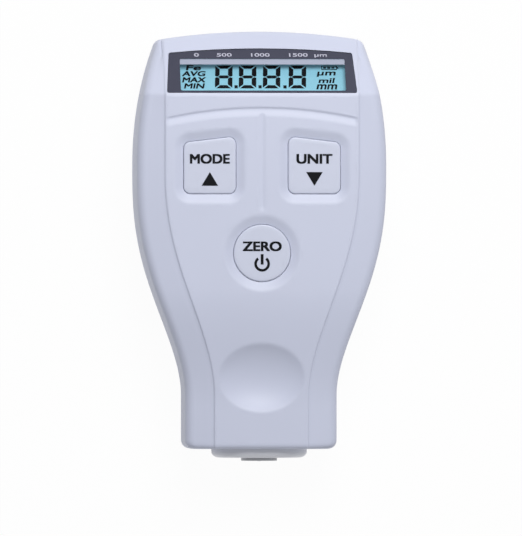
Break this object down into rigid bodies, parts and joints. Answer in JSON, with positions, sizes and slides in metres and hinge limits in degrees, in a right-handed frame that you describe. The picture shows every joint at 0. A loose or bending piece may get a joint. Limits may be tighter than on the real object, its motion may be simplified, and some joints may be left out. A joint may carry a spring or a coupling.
{
  "type": "coating thickness gauge",
  "caption": "Pocket coating thickness gauge: white waisted two-shell case, sloped LCD head, press keys, thumb rest, battery door and a spring-loaded probe at the lower end.",
  "frame": {"origin": "under the middle of the overall length and width, on the flat back", "axes": "+Z out of the front face, +Y towards the display end, X across the body"},
  "size_m": [0.065, 0.11, 0.0266],
  "materials": {
    "shell_white": "fine moulded texture, white",
    "key_white": "smooth white key caps",
    "lens_smoke": "clear lens with a dark grey mask",
    "lcd_cyan": "backlit cyan display glass",
    "light_guide": "pale light guide",
    "grey_plastic": "grey moulded plastic",
    "ribbon": "amber film",
    "board_green": "green solder mask",
    "black_plastic": "black",
    "tin": "tinned steel",
    "cell_wrap": "plain dark cell wrap",
    "sleeve_grey": "grey probe sleeve",
    "steel": "polished hard steel",
    "ferrite": "dark core",
    "copper": "enamelled copper winding",
    "lead_red": "insulated lead"
  },
  "bodies": {
    "case": {"front_shell": "shell_white", "rear_shell": "shell_white", "display_lens": "lens_smoke", "lcd_glass": "lcd_cyan", "lcd_backlight": "light_guide", "lcd_holder": "grey_plastic", "lcd_ribbon": "ribbon", "tact_switches": "tin", "main_board": "board_green", "board_chips": "black_plastic", "buzzer": "black_plastic", "battery_cells": "cell_wrap", "battery_springs": "tin", "battery_plates": "tin", "probe_holder": "grey_plastic", "probe_cap": "grey_plastic", "probe_spring": "tin", "probe_lead": "lead_red", "case_screws": "tin", "board_screws": "tin"},
    "mode_button": {"mode_key": "key_white", "mode_plunger": "black_plastic"},
    "unit_button": {"unit_key": "key_white", "unit_plunger": "black_plastic"},
    "zero_button": {"zero_key": "key_white", "zero_plunger": "black_plastic"},
    "door": {"battery_door": "shell_white"},
    "probe": {"probe_sleeve": "sleeve_grey", "probe_tip": "steel", "probe_core": "ferrite", "probe_coil": "copper"}
  },
  "joints": [
    {"name": "mode_press", "type": "slide", "parent": "case", "child": "mode_button", "axis": [0, 0, -1], "range_m": [0, 0.0005], "stiffness_N_per_m": 1200},
    {"name": "unit_press", "type": "slide", "parent": "case", "child": "unit_button", "axis": [0, 0, -1], "range_m": [0, 0.0005], "stiffness_N_per_m": 1200},
    {"name": "zero_press", "type": "slide", "parent": "case", "child": "zero_button", "axis": [0, 0, -1], "range_m": [0, 0.0005], "stiffness_N_per_m": 1200},
    {"name": "door_open", "type": "hinge", "parent": "case", "child": "door", "pos_m": [0, -0.0256, 0], "axis": [-1, 0, 0], "range_deg": [0, 40]},
    {"name": "probe_plunge", "type": "slide", "parent": "case", "child": "probe", "axis": [0, 1, 0], "range_m": [0, 0.001], "stiffness_N_per_m": 1500, "deforming": ["probe_spring"]}
  ]
}
